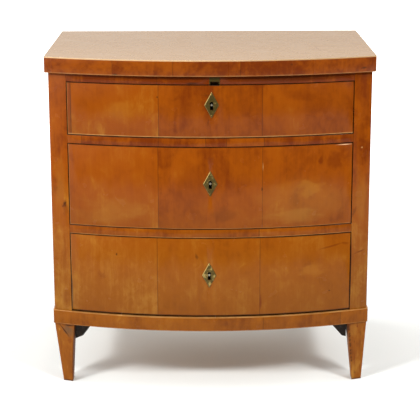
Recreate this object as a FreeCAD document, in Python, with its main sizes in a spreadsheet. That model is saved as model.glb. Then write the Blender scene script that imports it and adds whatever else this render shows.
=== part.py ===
import FreeCAD, Part

# Bow front chest of drawers: three locking drawers in a veneered case on four tapered legs.
#
# Millimetres, +Z up. The origin is on the floor below the middle of the top, and the front faces -Y.
# Every case piece is modelled from the level that it stands on, and every drawer piece from the
# bottom of its own opening, which its Placement gives.

import math
import os
from types import SimpleNamespace

import Sketcher

SIZES = {
    # the case
    "case_width": 783,
    "overall_depth": 538,
    "front_radius": 1170,           # of the bowed front of rails, stiles and drawers
    "side_thickness": 20,
    "stile_width": 44.5,
    "stile_depth": 44,              # at the outer corner of the case
    "stile_round": 6,
    "rail_thickness": 21,
    "top_rail_thickness": 20,
    "bottom_opening": 203,
    "middle_opening": 205,
    "top_opening": 130,
    # the top
    "top_thickness": 38.5,
    "top_side_overhang": 8.5,
    "top_front_overhang": 8,
    "top_corner_round": 5,
    # the plinth and its legs
    "plinth_height": 35,
    "plinth_proud": 3,
    "plinth_corner_round": 6,
    "plinth_back_thickness": 20,
    "leg_height": 152,
    "leg_top_width": 49.5,
    "foot_width": 24,
    "foot_outer_inset": 15,         # from the side of the case to the outer side of the foot
    "front_foot_lean": 4,           # both front feet stand this much to the right
    "dowel_radius": 11,
    "dowel_length": 25,
    "dowel_clearance": 0.15,
    "block_width": 37,
    "block_height": 45,
    "block_thickness": 32,
    # each front block's outline: places across from the leg, and depths below the plinth
    "left_block_depth": 47.5,
    "left_block_toe": 19,
    "left_block_toe_depth": 39.5,
    "left_block_heel_depth": 16,
    "right_block_depth": 45,
    "right_block_toe": 10,
    "right_block_toe_depth": 42.5,
    "right_block_heel_depth": 12,
    # inside the case
    "bottom_thickness": 16,
    "bottom_rebate": 10,
    "back_thickness": 12,
    "back_rebate": 10,
    "runner_bearing": 22,
    "guide_height": 18,
    "stop_spacing": 440,
    "stop_width": 30,
    "stop_depth": 12,
    "stop_height": 5,
    "nail_radius": 1,
    "nail_length": 24,
    "nail_head_radius": 3,
    "nail_head_thickness": 1.2,
    "nail_clearance": 0.1,
    "nail_end_distance": 50,
    # clearances of the drawers
    "front_side_gap": 2,
    "front_edge_gap": 2,
    "bottom_front_gap": 4.5,        # below the bottom drawer's front, which has worn low
    "running_gap": 0.3,
    "guide_gap": 0.5,
    "stop_gap": 0.3,
    "side_top_gap": 6,
    "rear_gap": 12,
    # the drawers
    "front_thickness": 24,
    "front_lap": 10,
    "drawer_side_thickness": 12,
    "drawer_back_thickness": 10,
    "drawer_back_drop": 8,
    "drawer_bottom_thickness": 8,
    "groove_depth": 6,
    "groove_height": 8,
    "bottom_end_gap": 1,
    # the locks
    "top_key_drop": 47.5,
    "middle_key_drop": 89,
    "bottom_key_drop": 92.5,
    "top_key_shift": 2.5,
    "middle_key_shift": -1,
    "bottom_key_shift": -4,
    "lock_width": 60,
    "lock_thickness": 12,
    "lock_recess": 8,
    "lock_below_key": 22,
    "lock_wall": 3,
    "selvedge_thickness": 2,
    "selvedge_depth": 18,
    "key_room_radius": 9,
    "lock_pin_radius": 2.8,
    "lock_pin_setback": 2,
    "bolt_shift": 7,
    "bolt_width": 14,
    "bolt_throw": 9,
    "bolt_clearance": 0.3,
    "bolt_above_key": 6,
    "mortise_clearance": 1,
    "notch_width": 22,
    "notch_depth": 1.5,
    "strike_width": 25,
    "strike_height": 17,
    "strike_thickness": 1.5,
    "strike_proud": 0.3,
    "strike_slot_width": 21,
    "strike_slot_height": 7,
    "strike_slot_depth": 12,
    # the escutcheons
    "escutcheon_width": 35,
    "escutcheon_height": 64,
    "escutcheon_thickness": 1.8,
    "escutcheon_bevel": 1.4,
    "keyhole_radius": 4.5,
    "keyhole_rise": 4,
    "keyhole_slot_width": 7.5,
    "keyhole_slot_drop": 12.5,
    "pin_spacing": 50,
    "pin_radius": 0.7,
    "pin_length": 8,
    "pin_head_radius": 1.7,
    "pin_head_height": 0.9,
    "pin_clearance": 0.1,
}


class Size:
    """A length that carries its number and the expression that binds a feature to it."""

    def __init__(self, number, text=None):
        self.number = float(number)
        self.text = text if text else repr(float(number))

    def __add__(self, other):
        other = size(other)
        return Size(self.number + other.number, f"({self.text} + {other.text})")

    def __sub__(self, other):
        other = size(other)
        return Size(self.number - other.number, f"({self.text} - {other.text})")

    def __mul__(self, other):
        other = size(other)
        return Size(self.number * other.number, f"({self.text} * {other.text})")

    def __truediv__(self, other):
        other = size(other)
        return Size(self.number / other.number, f"({self.text} / {other.text})")

    def __neg__(self):
        return Size(-self.number, f"(0 - {self.text})")


def size(value):
    return value if isinstance(value, Size) else Size(value)


def root(value):
    return Size(math.sqrt(value.number), f"sqrt({value.text})")


doc = FreeCAD.newDocument("bow_front_chest")
sheet = doc.addObject("Spreadsheet::Sheet", "Sizes")
for row, (alias, number) in enumerate(SIZES.items(), start=1):
    sheet.set(f"A{row}", alias)
    sheet.set(f"B{row}", str(number))
    sheet.setAlias(f"B{row}", alias)
doc.recompute()

s = SimpleNamespace(**{alias: Size(number, f"Sizes.{alias}") for alias, number in SIZES.items()})
ZERO = Size(0)
THROUGH = Size(5)       # how far a cut starts in front of the bowed face that it breaks
NEAR = 0.01             # two places closer than this are the same
LEFT, RIGHT = -1, 1
SIDES = {"left": LEFT, "right": RIGHT}


# ---------------------------------------------------------------- shared places

half_width = s.case_width / 2
opening_half = half_width - s.stile_width
back_face = s.overall_depth / 2
bow_centre = s.front_radius + s.top_front_overhang - back_face


def bow_y(radius, x):
    """Where the arc of this radius about the bow's centre crosses x."""
    return bow_centre - root(radius * radius - x * x)


front_face = bow_centre - s.front_radius
corner_y = bow_y(s.front_radius, half_width)
frame_back = corner_y + s.stile_depth
inside_back = back_face - s.back_thickness
side_inner = half_width - s.side_thickness

plinth_top = s.leg_height + s.plinth_height
lower_rail_level = plinth_top + s.bottom_opening
middle_level = lower_rail_level + s.rail_thickness
upper_rail_level = middle_level + s.middle_opening
top_level = upper_rail_level + s.rail_thickness
top_rail_level = top_level + s.top_opening
top_underside = top_rail_level + s.top_rail_thickness

leg_inner = half_width - s.leg_top_width
leg_middle = half_width - s.leg_top_width / 2
plinth_half = half_width + s.plinth_proud
plinth_back_front = back_face - s.plinth_back_thickness
bottom_half = leg_inner + s.bottom_rebate
bottom_front = frame_back - s.bottom_rebate

drawer_half = opening_half - s.front_side_gap
drawer_inner_half = drawer_half - s.drawer_side_thickness
inner_radius = s.front_radius - s.front_thickness
front_inner_face = bow_centre - inner_radius
lap_y = bow_y(s.front_radius, drawer_half) + s.front_lap
drawer_back_end = inside_back - s.rear_gap
guide_face = drawer_half + s.guide_gap
groove_floor = s.running_gap + s.groove_height
groove_top = groove_floor + s.drawer_bottom_thickness

lock_front = front_inner_face - s.lock_recess
bolt_thickness = s.lock_thickness - (s.lock_wall + s.bolt_clearance) * 2
bolt_front = lock_front + s.lock_wall + s.bolt_clearance
mortise_depth = s.bolt_throw - s.front_edge_gap + s.mortise_clearance

DRAWERS = [
    SimpleNamespace(name="top", level=top_level, opening=s.top_opening, key_drop=s.top_key_drop,
                    key_shift=s.top_key_shift, front_gap=s.front_edge_gap),
    SimpleNamespace(name="middle", level=middle_level, opening=s.middle_opening,
                    key_drop=s.middle_key_drop, key_shift=s.middle_key_shift,
                    front_gap=s.front_edge_gap),
    SimpleNamespace(name="bottom", level=plinth_top, opening=s.bottom_opening,
                    key_drop=s.bottom_key_drop, key_shift=s.bottom_key_shift,
                    front_gap=s.bottom_front_gap),
]


# ---------------------------------------------------------------- tools

parts = []


def bind(thing, path, value):
    thing.setExpression(path, size(value).text)


def new_body(label, level=ZERO):
    body = doc.addObject("PartDesign::Body", label)
    body.Label = label
    bind(body, ".Placement.Base.z", level)
    parts.append(body)
    return body


def span(side, inner, outer):
    """The low and high x of a piece that reaches from inner to outer on one side."""
    return (inner, outer) if side == RIGHT else (-outer, -inner)


def new_sketch(body, name, role, offset=ZERO):
    sketch = body.newObject("Sketcher::SketchObject", name)
    plane = [item for item in body.Origin.OriginFeatures if item.Role == role][0]
    sketch.AttachmentSupport = (plane, [""])
    sketch.MapMode = "FlatFace"
    bind(sketch, ".AttachmentOffset.Base.z", offset)
    return sketch


def constrain(sketch, kind, places, value=None):
    if value is None:
        sketch.addConstraint(Sketcher.Constraint(kind, *places))
        return
    index = sketch.addConstraint(Sketcher.Constraint(kind, *places, value.number))
    bind(sketch, f"Constraints[{index}]", value)


def draw_polygon(sketch, corners):
    """Straight lines through corners, each corner held at its own distances from the origin."""
    count = len(corners)
    points = [FreeCAD.Vector(x.number, y.number, 0) for x, y in corners]
    for index in range(count):
        sketch.addGeometry(Part.LineSegment(points[index], points[(index + 1) % count]))
    for index, (x, y) in enumerate(corners):
        constrain(sketch, "Coincident", (index, 2, (index + 1) % count, 1))
        constrain(sketch, "DistanceX", (-1, 1, index, 1), x)
        constrain(sketch, "DistanceY", (-1, 1, index, 1), y)


def add_arc(sketch, radius, left, right):
    """An arc of the bow from left to right, drawn about the bow's centre."""
    centre = FreeCAD.Vector(0, bow_centre.number, 0)
    circle = Part.Circle(centre, FreeCAD.Vector(0, 0, 1), radius.number)
    ends = [math.atan2(bow_y(radius, x).number - centre.y, x.number) for x in (left, right)]
    arc = sketch.addGeometry(Part.ArcOfCircle(circle, *ends))
    constrain(sketch, "PointOnObject", (arc, 3, -2))
    constrain(sketch, "DistanceY", (-1, 1, arc, 3), bow_centre)
    constrain(sketch, "Radius", (arc,), radius)
    constrain(sketch, "DistanceX", (-1, 1, arc, 1), left)
    constrain(sketch, "DistanceX", (-1, 1, arc, 2), right)
    return arc


def pad(body, sketch, length):
    feature = body.newObject("PartDesign::Pad", sketch.Name + "_pad")
    feature.Profile = sketch
    bind(feature, "Length", length)
    sketch.Visibility = False
    body.Tip = feature
    return feature


def bowed_board(body, left, right, back, height, radius=s.front_radius):
    """A board with its front sawn to the bow and its back straight."""
    sketch = new_sketch(body, body.Name + "_plan", "XY_Plane")
    arc = add_arc(sketch, radius, left, right)
    corner = {x: FreeCAD.Vector(x.number, back.number, 0) for x in (left, right)}
    front = {x: FreeCAD.Vector(x.number, bow_y(radius, x).number, 0) for x in (left, right)}
    right_side = sketch.addGeometry(Part.LineSegment(front[right], corner[right]))
    back_side = sketch.addGeometry(Part.LineSegment(corner[right], corner[left]))
    left_side = sketch.addGeometry(Part.LineSegment(corner[left], front[left]))
    constrain(sketch, "Coincident", (arc, 2, right_side, 1))
    constrain(sketch, "Coincident", (right_side, 2, back_side, 1))
    constrain(sketch, "Coincident", (back_side, 2, left_side, 1))
    constrain(sketch, "Coincident", (left_side, 2, arc, 1))
    constrain(sketch, "Vertical", (right_side,))
    constrain(sketch, "Vertical", (left_side,))
    constrain(sketch, "Horizontal", (back_side,))
    constrain(sketch, "DistanceY", (-1, 1, back_side, 1), back)
    return pad(body, sketch, height)


def curved_board(body, half, outer, inner, bottom, height):
    """A board bent to the bow, with a concave back of the same centre."""
    sketch = new_sketch(body, body.Name + "_plan", "XY_Plane", bottom)
    front = add_arc(sketch, outer, -half, half)
    back = add_arc(sketch, inner, -half, half)
    for x, end in ((half, 2), (-half, 1)):
        points = [FreeCAD.Vector(x.number, bow_y(radius, x).number, 0) for radius in (outer, inner)]
        side = sketch.addGeometry(Part.LineSegment(*points))
        constrain(sketch, "Coincident", (front, end, side, 1))
        constrain(sketch, "Coincident", (back, end, side, 2))
    return pad(body, sketch, height)


def board(body, low, high):
    """A rectangular board between two corners, drawn in plan and padded upwards."""
    sketch = new_sketch(body, body.Name + "_plan", "XY_Plane", low[2])
    draw_polygon(sketch, [(low[0], low[1]), (high[0], low[1]), (high[0], high[1]), (low[0], high[1])])
    return pad(body, sketch, high[2] - low[2])


def box(body, kind, name, low, high):
    """A box between two corners, added to the body or cut from it."""
    feature = body.newObject(f"PartDesign::{kind}Box", name)
    for path, axis in (("Length", 0), ("Width", 1), ("Height", 2)):
        bind(feature, path, high[axis] - low[axis])
    for letter, value in zip("xyz", low):
        bind(feature, f".Placement.Base.{letter}", value)
    body.Tip = feature
    return feature


def cylinder(body, kind, name, place, radius, length, backwards=False):
    """A cylinder upwards from place, or backwards along +Y, added to the body or cut from it."""
    feature = body.newObject(f"PartDesign::{kind}Cylinder", name)
    turn = FreeCAD.Rotation(FreeCAD.Vector(1, 0, 0), -90 if backwards else 0)
    feature.Placement = FreeCAD.Placement(FreeCAD.Vector(), turn)
    bind(feature, "Radius", radius)
    bind(feature, "Height", length)
    for letter, value in zip("xyz", place):
        bind(feature, f".Placement.Base.{letter}", value)
    body.Tip = feature
    return feature


def dress_edges(body, kind, name, amount, wanted):
    """A fillet or a chamfer on the edges of the body that wanted picks by their two ends."""
    doc.recompute()
    base = body.Tip
    names = []
    for index, edge in enumerate(base.Shape.Edges, start=1):
        ends = [vertex.Point for vertex in edge.Vertexes]
        if len(ends) == 2 and wanted(*ends):
            names.append(f"Edge{index}")
    feature = body.newObject(f"PartDesign::{kind}", name)
    feature.Base = (base, names)
    bind(feature, "Radius" if kind == "Fillet" else "Size", amount)
    body.Tip = feature
    return feature


def same(first, second):
    return abs(first - second) < NEAR


def is_front_upright(at):
    """Picks upright edges at these x places that lie in front of the frame's back."""
    def wanted(start, end):
        upright = same(start.x, end.x) and same(start.y, end.y)
        in_front = start.y < frame_back.number - NEAR
        return upright and in_front and any(same(start.x, x.number) for x in at)
    return wanted


def rod(name, place, radius, length):
    """A plain cylinder along +Y for a nail or a pin."""
    thing = doc.addObject("Part::Cylinder", name)
    turn = FreeCAD.Rotation(FreeCAD.Vector(1, 0, 0), -90)
    thing.Placement = FreeCAD.Placement(FreeCAD.Vector(), turn)
    bind(thing, "Radius", radius)
    bind(thing, "Height", length)
    for letter, value in zip("xyz", place):
        bind(thing, f".Placement.Base.{letter}", value)
    return thing


def joined(name, first, second):
    fuse = doc.addObject("Part::Fuse", name)
    fuse.Base = first
    fuse.Tool = second
    return fuse


def group(label, things, level=ZERO):
    """Identical small pieces that share one node, each still a solid of its own."""
    compound = doc.addObject("Part::Compound", label)
    compound.Label = label
    compound.Links = things
    bind(compound, ".Placement.Base.z", level)
    parts.append(compound)
    return compound


# ---------------------------------------------------------------- the case

def make_top():
    body = new_body("top_board", top_underside)
    half = half_width + s.top_side_overhang
    bowed_board(body, -half, half, back_face, s.top_thickness, s.front_radius + s.top_front_overhang)
    dress_edges(body, "Fillet", "top_corners", s.top_corner_round, is_front_upright([-half, half]))


def nail_heights():
    """The heights of the nails in each back board, above the plinth."""
    case_height = top_underside - plinth_top
    middle = case_height / 2
    return {
        "lower": [s.nail_end_distance, middle - s.nail_end_distance],
        "upper": [middle + s.nail_end_distance, case_height - s.nail_end_distance],
    }


def nail_x(side):
    return (side_inner + s.back_rebate / 2) * side


def cut_nail_holes(body, heights, sides, front):
    """Holes for the shanks from the front plane back, and sunk seats for the heads."""
    for number, (side, height) in enumerate((side, height) for side in sides for height in heights):
        shank = (nail_x(side), front, height)
        seat = (nail_x(side), back_face - s.nail_head_thickness, height)
        cylinder(body, "Subtractive", f"nail_hole_{number}", shank, s.nail_radius + s.nail_clearance,
                 back_face - front, backwards=True)
        cylinder(body, "Subtractive", f"nail_seat_{number}", seat,
                 s.nail_head_radius + s.nail_clearance, s.nail_head_thickness, backwards=True)


def make_side_panel(word, side):
    body = new_body(f"side_panel_{word}", plinth_top)
    height = top_underside - plinth_top
    low, high = span(side, side_inner, half_width)
    board(body, (low, frame_back, ZERO), (high, back_face, height))
    low, high = span(side, side_inner, side_inner + s.back_rebate)
    box(body, "Subtractive", "back_rebate", (low, inside_back, ZERO), (high, back_face, height))
    heights = [height for row in nail_heights().values() for height in row]
    for number, height in enumerate(heights):
        place = (nail_x(side), back_face - s.nail_length - s.nail_clearance, height)
        cylinder(body, "Subtractive", f"nail_hole_{number}", place, s.nail_radius + s.nail_clearance,
                 s.nail_length, backwards=True)


def make_stile(word, side):
    body = new_body(f"front_stile_{word}", plinth_top)
    low, high = span(side, opening_half, half_width)
    bowed_board(body, low, high, frame_back, top_underside - plinth_top)
    dress_edges(body, "Fillet", "outer_edge", s.stile_round, is_front_upright([half_width * side]))


def bolt_x(drawer):
    return drawer.key_shift + s.bolt_shift


def cut_mortise(body, drawer):
    """The hole in a rail's underside that the bolt of the drawer below it enters."""
    half = s.bolt_width / 2 + s.mortise_clearance
    low = (bolt_x(drawer) - half, bolt_front - s.mortise_clearance, ZERO)
    high = (bolt_x(drawer) + half, bolt_front + bolt_thickness + s.mortise_clearance, mortise_depth)
    box(body, "Subtractive", "bolt_mortise", low, high)


def strike_box(drawer):
    """The strike plate's outside, from the rail's face back past the mortise."""
    half = s.strike_width / 2
    front = front_face - s.strike_proud
    back = bolt_front + bolt_thickness + s.mortise_clearance * 2
    return bolt_x(drawer) - half, bolt_x(drawer) + half, front, back


def cut_strike_slot(body, drawer):
    """The dark slot worn through the strike plate's lower edge and into the rail."""
    half = s.strike_slot_width / 2
    low = (bolt_x(drawer) - half, front_face - THROUGH, ZERO)
    high = (bolt_x(drawer) + half, front_face + s.strike_slot_depth, s.strike_slot_height)
    box(body, "Subtractive", "strike_slot", low, high)


def make_rail(label, level, thickness, drawer):
    body = new_body(label, level)
    bowed_board(body, -opening_half, opening_half, frame_back, thickness)
    cut_mortise(body, drawer)
    return body


def make_top_rail(drawer):
    body = make_rail("top_rail", top_rail_level, s.top_rail_thickness, drawer)
    low, high, front, back = strike_box(drawer)
    leaf_back = front + s.strike_thickness
    box(body, "Subtractive", "strike_face_recess", (low, front - THROUGH, ZERO),
        (high, leaf_back, s.strike_height))
    box(body, "Subtractive", "strike_foot_recess", (low, front - THROUGH, ZERO),
        (high, back, s.strike_thickness))
    cut_strike_slot(body, drawer)


def make_strike_plate(drawer):
    body = new_body("strike_plate", top_rail_level)
    low, high, front, back = strike_box(drawer)
    board(body, (low, front, ZERO), (high, back, s.strike_thickness))
    box(body, "Additive", "face_leaf", (low, front, ZERO), (high, front + s.strike_thickness, s.strike_height))
    cut_mortise(body, drawer)
    cut_strike_slot(body, drawer)


def dowel_places():
    """Where each leg's dowel stands, by the leg's end of the case."""
    return {"front": corner_y + s.stile_depth / 2, "back": back_face - s.leg_top_width / 2}


def cut_dowel_hole(body, side, end):
    radius = s.dowel_radius + s.dowel_clearance
    depth = s.dowel_length + s.dowel_clearance
    place = (leg_middle * side, dowel_places()[end], ZERO)
    cylinder(body, "Subtractive", f"dowel_hole_{side + 1}", place, radius, depth)


def make_plinth_front():
    body = new_body("plinth_front", s.leg_height)
    bowed_board(body, -plinth_half, plinth_half, frame_back, s.plinth_height,
                s.front_radius + s.plinth_proud)
    box(body, "Subtractive", "bottom_rebate",
        (-bottom_half, bottom_front, s.plinth_height - s.bottom_thickness),
        (bottom_half, frame_back, s.plinth_height))
    dress_edges(body, "Fillet", "corners", s.plinth_corner_round, is_front_upright([-plinth_half, plinth_half]))
    for side in SIDES.values():
        cut_dowel_hole(body, side, "front")


def make_plinth_side(word, side):
    body = new_body(f"plinth_{word}", s.leg_height)
    low, high = span(side, leg_inner, plinth_half)
    board(body, (low, frame_back, ZERO), (high, back_face, s.plinth_height))
    low, high = span(side, leg_inner, bottom_half)
    box(body, "Subtractive", "bottom_rebate", (low, frame_back, s.plinth_height - s.bottom_thickness),
        (high, plinth_back_front, s.plinth_height))
    cut_dowel_hole(body, side, "back")


def make_plinth_back():
    body = new_body("plinth_back", s.leg_height)
    board(body, (-leg_inner, plinth_back_front, ZERO), (leg_inner, back_face, s.plinth_height))


def make_bottom_board():
    body = new_body("bottom_board", plinth_top - s.bottom_thickness)
    board(body, (-bottom_half, bottom_front, ZERO), (bottom_half, plinth_back_front, s.bottom_thickness))


def make_back_board(word, low, high):
    body = new_body(f"back_board_{word}", plinth_top)
    half = side_inner + s.back_rebate
    board(body, (-half, inside_back, low), (half, back_face, high))
    cut_nail_holes(body, nail_heights()[word], SIDES.values(), inside_back)


def make_back_nails():
    nails = []
    for side in SIDES.values():
        for height in [height for row in nail_heights().values() for height in row]:
            number = len(nails)
            shank_front = back_face - s.nail_length
            head_front = back_face - s.nail_head_thickness
            shank = rod(f"nail_shank_{number}", (nail_x(side), shank_front, height), s.nail_radius,
                        s.nail_length)
            head = rod(f"nail_head_{number}", (nail_x(side), head_front, height),
                       s.nail_head_radius, s.nail_head_thickness)
            nails.append(joined(f"nail_{number}", shank, head))
    group("back_nails", nails, plinth_top)


def make_leg(end, word, side):
    """A square leg that tapers to its foot, with a dowel on top. The front legs follow the bow."""
    body = new_body(f"leg_{end}_{word}")
    lean = s.front_foot_lean * side if end == "front" else ZERO
    foot_outer = half_width - s.foot_outer_inset + lean
    foot_inner = foot_outer - s.foot_width
    inner_y = bow_y(s.front_radius, leg_inner)
    slope = (corner_y - inner_y) / s.leg_top_width

    def quad(inner, outer, depth):
        if end == "front":
            inner_front = inner_y + slope * (inner - leg_inner)
            outer_front = inner_y + slope * (outer - leg_inner)
            back = outer_front + depth
        else:
            inner_front = outer_front = back_face - depth
            back = back_face
        plan = [(inner, inner_front), (outer, outer_front), (outer, back), (inner, back)]
        return [(x * side, y) for x, y in plan]

    foot = new_sketch(body, f"{body.Name}_foot", "XY_Plane")
    draw_polygon(foot, quad(foot_inner, foot_outer, s.foot_width))
    head = new_sketch(body, f"{body.Name}_head", "XY_Plane", s.leg_height)
    draw_polygon(head, quad(leg_inner, half_width, s.leg_top_width))
    taper = body.newObject("PartDesign::AdditiveLoft", f"{body.Name}_taper")
    taper.Profile = foot
    taper.Sections = [head]
    taper.Ruled = True
    body.Tip = taper
    place = (leg_middle * side, dowel_places()[end], s.leg_height)
    cylinder(body, "Additive", "dowel", place, s.dowel_radius, s.dowel_length)


def block_outline(word):
    """A front block's lower corners, from the leg's inner side and down from the plinth."""
    if word == "left":
        toe, toe_depth = s.left_block_toe, s.left_block_toe_depth
        depth, heel_depth = s.left_block_depth, s.left_block_heel_depth
    else:
        toe, toe_depth = s.right_block_toe, s.right_block_toe_depth
        depth, heel_depth = s.right_block_depth, s.right_block_heel_depth
    return [(ZERO, ZERO), (ZERO, depth), (toe, toe_depth), (s.block_width, heel_depth), (s.block_width, ZERO)]


def make_front_block(word, side):
    """A rough glue block below the plinth, beside a leg, with its lower inner corner cut away."""
    body = new_body(f"corner_block_{word}", s.leg_height)
    sketch = new_sketch(body, f"{body.Name}_outline", "XZ_Plane", -frame_back)
    draw_polygon(sketch, [((leg_inner - across) * side, -down) for across, down in block_outline(word)])
    pad(body, sketch, s.block_thickness)


def make_back_blocks():
    blocks = []
    for word, side in SIDES.items():
        low, high = span(side, leg_inner - s.block_width, leg_inner)
        block = doc.addObject("Part::Box", f"back_block_{word}")
        bind(block, "Length", high - low)
        bind(block, "Width", s.plinth_back_thickness)
        bind(block, "Height", s.block_height)
        for letter, value in zip("xyz", (low, plinth_back_front, -s.block_height)):
            bind(block, f".Placement.Base.{letter}", value)
        blocks.append(block)
    group("back_corner_blocks", blocks, s.leg_height)


def make_runner(drawer, word, side):
    """A runner level with the rail's top, with the drawer's guide standing on its outer edge."""
    body = new_body(f"runner_{drawer.name}_{word}", drawer.level)
    sketch = new_sketch(body, f"{body.Name}_end", "XZ_Plane", -inside_back)
    bearing = guide_face - s.runner_bearing
    corners = [(bearing, -s.rail_thickness), (side_inner, -s.rail_thickness),
               (side_inner, s.guide_height), (guide_face, s.guide_height), (guide_face, ZERO),
               (bearing, ZERO)]
    draw_polygon(sketch, [(x * side, z) for x, z in corners])
    pad(body, sketch, inside_back - frame_back)


def make_bottom_guide(word, side):
    body = new_body(f"guide_bottom_{word}", plinth_top)
    low, high = span(side, guide_face, side_inner)
    board(body, (low, frame_back, ZERO), (high, inside_back, s.guide_height))


def make_kicker(word, side):
    body = new_body(f"kicker_{word}", top_rail_level)
    low, high = span(side, guide_face - s.runner_bearing, side_inner)
    board(body, (low, frame_back, ZERO), (high, inside_back, s.top_rail_thickness))


def make_drawer_stops():
    """Two small blocks behind each drawer front, on the rail that the drawer passes over."""
    stops = []
    far_corner = (s.stop_spacing + s.stop_width) / 2
    front = bow_y(inner_radius, far_corner) + s.stop_gap
    for drawer in DRAWERS:
        for word, side in SIDES.items():
            stop = doc.addObject("Part::Box", f"stop_{drawer.name}_{word}")
            bind(stop, "Length", s.stop_width)
            bind(stop, "Width", s.stop_depth)
            bind(stop, "Height", s.stop_height)
            low = s.stop_spacing / 2 * side - s.stop_width / 2
            for letter, value in zip("xyz", (low, front, drawer.level)):
                bind(stop, f".Placement.Base.{letter}", value)
            stops.append(stop)
    group("drawer_stops", stops)


# ---------------------------------------------------------------- the drawers

def front_top(drawer):
    return drawer.opening - s.front_edge_gap


def key_height(drawer):
    return front_top(drawer) - drawer.key_drop


def side_top(drawer):
    return drawer.opening - s.side_top_gap


def pin_heights(drawer):
    """The escutcheon's two fixing pins, below and above the keyhole."""
    return [key_height(drawer) - s.pin_spacing / 2, key_height(drawer) + s.pin_spacing / 2]


def cut_keyhole(body, drawer, front, depth):
    """A tall worn hole: round above the lock's pin, with the slot for the key's bit below it."""
    x, height = drawer.key_shift, key_height(drawer)
    half = s.keyhole_slot_width / 2
    crown = height + s.keyhole_rise
    cylinder(body, "Subtractive", "keyhole", (x, front, crown), s.keyhole_radius, depth, backwards=True)
    box(body, "Subtractive", "keyhole_slot", (x - half, front, height - s.keyhole_slot_drop),
        (x + half, front + depth, crown))


def make_drawer_front(drawer):
    body = new_body(f"{drawer.name}_drawer_front", drawer.level)
    top = front_top(drawer)
    curved_board(body, drawer_half, s.front_radius, inner_radius, drawer.front_gap,
                 top - drawer.front_gap)
    for word, side in SIDES.items():
        low, high = span(side, drawer_inner_half, drawer_half)
        box(body, "Subtractive", f"side_lap_{word}", (low, lap_y, ZERO),
            (high, lap_y + s.front_thickness * 2, top))
    cylinder(body, "Subtractive", "bottom_groove", (ZERO, bow_centre, groove_floor),
             inner_radius + s.groove_depth, s.drawer_bottom_thickness)
    half = s.lock_width / 2
    low, high = drawer.key_shift - half, drawer.key_shift + half
    behind = front_inner_face + s.front_thickness
    box(body, "Subtractive", "lock_recess", (low, lock_front, key_height(drawer) - s.lock_below_key),
        (high, behind, top))
    selvedge_front = lock_front + s.lock_thickness - s.selvedge_depth
    box(body, "Subtractive", "selvedge_recess", (low, selvedge_front, top - s.selvedge_thickness),
        (high, behind, top))
    outside = front_face - THROUGH
    cut_keyhole(body, drawer, outside, lock_front - outside)
    for number, height in enumerate(pin_heights(drawer)):
        cylinder(body, "Subtractive", f"pin_hole_{number}", (drawer.key_shift, outside, height),
                 s.pin_radius + s.pin_clearance, s.pin_length + THROUGH, backwards=True)
    if drawer.name == "top":
        middle, half = bolt_x(drawer), s.notch_width / 2
        box(body, "Subtractive", "worn_notch", (middle - half, outside, top - s.notch_depth),
            (middle + half, selvedge_front, top))


def make_drawer_side(drawer, word, side):
    body = new_body(f"{drawer.name}_drawer_side_{word}", drawer.level)
    low, high = span(side, drawer_inner_half, drawer_half)
    board(body, (low, lap_y, s.running_gap), (high, drawer_back_end, side_top(drawer)))
    low, high = span(side, drawer_inner_half, drawer_inner_half + s.groove_depth)
    box(body, "Subtractive", "bottom_groove", (low, lap_y, groove_floor),
        (high, drawer_back_end, groove_top))


def make_drawer_back(drawer):
    body = new_body(f"{drawer.name}_drawer_back", drawer.level)
    board(body, (-drawer_inner_half, drawer_back_end - s.drawer_back_thickness, groove_top),
          (drawer_inner_half, drawer_back_end, side_top(drawer) - s.drawer_back_drop))


def make_drawer_bottom(drawer):
    body = new_body(f"{drawer.name}_drawer_bottom", drawer.level + groove_floor)
    half = drawer_inner_half + s.groove_depth
    radius = inner_radius + s.groove_depth - s.bottom_end_gap
    bowed_board(body, -half, half, drawer_back_end, s.drawer_bottom_thickness, radius)


def make_escutcheon(drawer):
    """A diamond plate with a bevelled edge, a keyhole and two pin holes."""
    body = new_body(f"{drawer.name}_escutcheon", drawer.level)
    x, height = drawer.key_shift, key_height(drawer)
    half_across, half_up = s.escutcheon_width / 2, s.escutcheon_height / 2
    sketch = new_sketch(body, f"{body.Name}_outline", "XZ_Plane", -front_face)
    draw_polygon(sketch, [(x - half_across, height), (x, height - half_up),
                          (x + half_across, height), (x, height + half_up)])
    pad(body, sketch, s.escutcheon_thickness)
    face = front_face - s.escutcheon_thickness
    dress_edges(body, "Chamfer", "bevel", s.escutcheon_bevel,
                lambda start, end: same(start.y, face.number) and same(end.y, face.number))
    cut_keyhole(body, drawer, face, s.escutcheon_thickness)
    for number, pin_height in enumerate(pin_heights(drawer)):
        cylinder(body, "Subtractive", f"pin_hole_{number}", (x, face, pin_height),
                 s.pin_radius + s.pin_clearance, s.escutcheon_thickness, backwards=True)


def make_escutcheon_pins(drawer):
    face = front_face - s.escutcheon_thickness
    pins = []
    for number, height in enumerate(pin_heights(drawer)):
        name = f"{drawer.name}_pin_{number}"
        shank = rod(f"{name}_shank", (drawer.key_shift, face, height), s.pin_radius,
                    s.escutcheon_thickness + s.pin_length - s.pin_clearance)
        head = doc.addObject("Part::Cone", f"{name}_head")
        turn = FreeCAD.Rotation(FreeCAD.Vector(1, 0, 0), 90)
        head.Placement = FreeCAD.Placement(FreeCAD.Vector(), turn)
        bind(head, "Radius1", s.pin_head_radius)
        bind(head, "Radius2", s.pin_head_radius / 2)
        bind(head, "Height", s.pin_head_height)
        for letter, value in zip("xyz", (drawer.key_shift, face, height)):
            bind(head, f".Placement.Base.{letter}", value)
        pins.append(joined(name, shank, head))
    group(f"{drawer.name}_escutcheon_pins", pins, drawer.level)


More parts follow.
